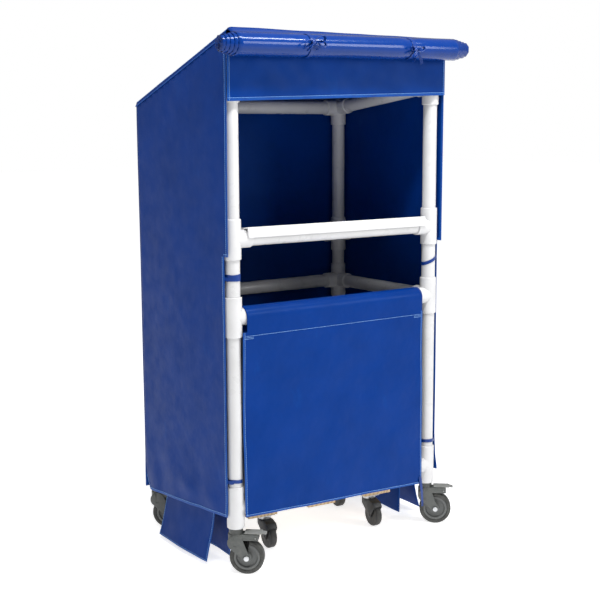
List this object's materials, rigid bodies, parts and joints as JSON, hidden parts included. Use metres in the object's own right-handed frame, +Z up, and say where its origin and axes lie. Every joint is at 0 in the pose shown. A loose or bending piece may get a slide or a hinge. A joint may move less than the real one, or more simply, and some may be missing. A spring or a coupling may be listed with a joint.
{
  "type": "linen trolley",
  "caption": "Upright linen trolley: a plastic pipe frame on swivel casters with a vinyl cover, a sloping shelf below a rolled-up curtain, and a hanging flap in front of a return bin.",
  "frame": {"origin": "on the floor under the middle of the trolley's outline, 35 mm in front of the middle of the four posts", "axes": "+X to the user's right, +Y to the back, +Z up"},
  "size_m": [0.8726, 0.6005, 1.5267],
  "materials": {
    "pipe": "smooth white furniture-grade plastic",
    "fitting": "smooth white moulded plastic",
    "tray_sheet": "white sheet, lightly textured",
    "vinyl": "semi-gloss blue vinyl-coated cloth",
    "vinyl_roll": "semi-gloss blue vinyl-coated cloth, rolled",
    "strap": "blue cloth strap",
    "caster_sleeve": "grey plastic sleeve on a steel pin",
    "caster_moulding": "grey moulded nylon",
    "wheel_centre": "grey moulded wheel centre",
    "tread": "dark grey non-marking rubber",
    "pedal": "light grey moulded pedal",
    "steel": "bright steel",
    "zinc": "zinc-plated steel",
    "black_steel": "black painted steel",
    "black_rubber": "black rubber wheel",
    "board": "plain light-brown wood",
    "bin_sheet": "dark blue plastic sheet"
  },
  "bodies": {
    "frame": {"lower_post_pipes": "pipe", "middle_post_pipes": "pipe", "upper_post_pipes": "pipe", "front_top_pipes": "pipe", "base_rails": "pipe", "return_rails": "pipe", "shelf_rails": "pipe", "top_rails": "pipe", "valance_rail": "pipe", "base_fittings": "fitting", "return_fittings": "fitting", "shelf_fittings": "fitting", "top_fittings": "fitting", "valance_elbows": "fitting", "shelf_tray": "tray_sheet", "cover_left": "vinyl", "cover_right": "vinyl", "cover_roof": "vinyl", "cover_back": "vinyl", "valance": "vinyl", "rolled_curtain": "vinyl_roll", "curtain_ties": "strap", "post_ties": "strap", "outer_skirts": "vinyl", "inner_skirts": "vinyl", "caster_stems": "caster_sleeve", "dolly_runners": "board", "runner_bolts": "zinc", "bin_floor": "bin_sheet", "bin_walls": "bin_sheet", "dolly_caster_plates": "zinc"},
    "flap": {"return_flap": "vinyl"},
    "caster_front_left": {"caster_fork_front_left": "caster_moulding", "caster_axle_front_left": "steel"},
    "wheel_front_left": {"caster_hub_front_left": "wheel_centre", "caster_tyre_front_left": "tread"},
    "pedal_front_left": {"brake_pedal_front_left": "pedal"},
    "caster_front_right": {"caster_fork_front_right": "caster_moulding", "caster_axle_front_right": "steel"},
    "wheel_front_right": {"caster_hub_front_right": "wheel_centre", "caster_tyre_front_right": "tread"},
    "pedal_front_right": {"brake_pedal_front_right": "pedal"},
    "caster_back_left": {"caster_fork_back_left": "caster_moulding", "caster_axle_back_left": "steel"},
    "wheel_back_left": {"caster_hub_back_left": "wheel_centre", "caster_tyre_back_left": "tread"},
    "pedal_back_left": {"brake_pedal_back_left": "pedal"},
    "caster_back_right": {"caster_fork_back_right": "caster_moulding", "caster_axle_back_right": "steel"},
    "wheel_back_right": {"caster_hub_back_right": "wheel_centre", "caster_tyre_back_right": "tread"},
    "pedal_back_right": {"brake_pedal_back_right": "pedal"},
    "dolly_caster_front_left": {"dolly_fork_front_left": "black_steel"},
    "dolly_wheel_front_left": {"dolly_wheel_front_left": "black_rubber"},
    "dolly_caster_front_right": {"dolly_fork_front_right": "black_steel"},
    "dolly_wheel_front_right": {"dolly_wheel_front_right": "black_rubber"},
    "dolly_caster_back_left": {"dolly_fork_back_left": "black_steel"},
    "dolly_wheel_back_left": {"dolly_wheel_back_left": "black_rubber"},
    "dolly_caster_back_right": {"dolly_fork_back_right": "black_steel"},
    "dolly_wheel_back_right": {"dolly_wheel_back_right": "black_rubber"}
  },
  "joints": [
    {"name": "flap_swing", "type": "hinge", "parent": "frame", "child": "flap", "pos_m": [0, -0.1985, 0.743], "axis": [-1, 0, 0], "range_deg": [0, 75]},
    {"name": "caster_swivel_front_left", "type": "hinge", "parent": "frame", "child": "caster_front_left", "pos_m": [-0.359, -0.1985, 0.1185], "axis": [0, 0, 1], "continuous": true},
    {"name": "wheel_roll_front_left", "type": "hinge", "parent": "caster_front_left", "child": "wheel_front_left", "pos_m": [-0.33449, -0.21907, 0.05], "axis": [0.6428, 0.766, 0], "continuous": true},
    {"name": "brake_pedal_front_left", "type": "hinge", "parent": "caster_front_left", "child": "pedal_front_left", "pos_m": [-0.31457, -0.23578, 0.1095], "axis": [0.6428, 0.766, 0], "range_deg": [0, 8]},
    {"name": "caster_swivel_front_right", "type": "hinge", "parent": "frame", "child": "caster_front_right", "pos_m": [0.359, -0.1985, 0.1185], "axis": [0, 0, 1], "continuous": true},
    {"name": "wheel_roll_front_right", "type": "hinge", "parent": "caster_front_right", "child": "wheel_front_right", "pos_m": [0.38351, -0.21907, 0.05], "axis": [0.6428, 0.766, 0], "continuous": true},
    {"name": "brake_pedal_front_right", "type": "hinge", "parent": "caster_front_right", "child": "pedal_front_right", "pos_m": [0.40343, -0.23578, 0.1095], "axis": [0.6428, 0.766, 0], "range_deg": [0, 8]},
    {"name": "caster_swivel_back_left", "type": "hinge", "parent": "frame", "child": "caster_back_left", "pos_m": [-0.359, 0.2685, 0.1185], "axis": [0, 0, 1], "continuous": true},
    {"name": "wheel_roll_back_left", "type": "hinge", "parent": "caster_back_left", "child": "wheel_back_left", "pos_m": [-0.33449, 0.24793, 0.05], "axis": [0.6428, 0.766, 0], "continuous": true},
    {"name": "brake_pedal_back_left", "type": "hinge", "parent": "caster_back_left", "child": "pedal_back_left", "pos_m": [-0.31457, 0.23122, 0.1095], "axis": [0.6428, 0.766, 0], "range_deg": [0, 8]},
    {"name": "caster_swivel_back_right", "type": "hinge", "parent": "frame", "child": "caster_back_right", "pos_m": [0.359, 0.2685, 0.1185], "axis": [0, 0, 1], "continuous": true},
    {"name": "wheel_roll_back_right", "type": "hinge", "parent": "caster_back_right", "child": "wheel_back_right", "pos_m": [0.38351, 0.24793, 0.05], "axis": [0.6428, 0.766, 0], "continuous": true},
    {"name": "brake_pedal_back_right", "type": "hinge", "parent": "caster_back_right", "child": "pedal_back_right", "pos_m": [0.40343, 0.23122, 0.1095], "axis": [0.6428, 0.766, 0], "range_deg": [0, 8]},
    {"name": "dolly_swivel_front_left", "type": "hinge", "parent": "frame", "child": "dolly_caster_front_left", "pos_m": [-0.17257, -0.06329, 0.086], "axis": [0, 0, 1], "continuous": true},
    {"name": "dolly_roll_front_left", "type": "hinge", "parent": "dolly_caster_front_left", "child": "dolly_wheel_front_left", "pos_m": [-0.17516, -0.09016, 0.036], "axis": [0.9954, -0.0958, 0], "continuous": true},
    {"name": "dolly_swivel_front_right", "type": "hinge", "parent": "frame", "child": "dolly_caster_front_right", "pos_m": [0.20568, -0.09971, 0.086], "axis": [0, 0, 1], "continuous": true},
    {"name": "dolly_roll_front_right", "type": "hinge", "parent": "dolly_caster_front_right", "child": "dolly_wheel_front_right", "pos_m": [0.20309, -0.12659, 0.036], "axis": [0.9954, -0.0958, 0], "continuous": true},
    {"name": "dolly_swivel_back_left", "type": "hinge", "parent": "frame", "child": "dolly_caster_back_left", "pos_m": [-0.15168, 0.15371, 0.086], "axis": [0, 0, 1], "continuous": true},
    {"name": "dolly_roll_back_left", "type": "hinge", "parent": "dolly_caster_back_left", "child": "dolly_wheel_back_left", "pos_m": [-0.15427, 0.12683, 0.036], "axis": [0.9954, -0.0958, 0], "continuous": true},
    {"name": "dolly_swivel_back_right", "type": "hinge", "parent": "frame", "child": "dolly_caster_back_right", "pos_m": [0.22657, 0.11729, 0.086], "axis": [0, 0, 1], "continuous": true},
    {"name": "dolly_roll_back_right", "type": "hinge", "parent": "dolly_caster_back_right", "child": "dolly_wheel_back_right", "pos_m": [0.22398, 0.09041, 0.036], "axis": [0.9954, -0.0958, 0], "continuous": true}
  ]
}
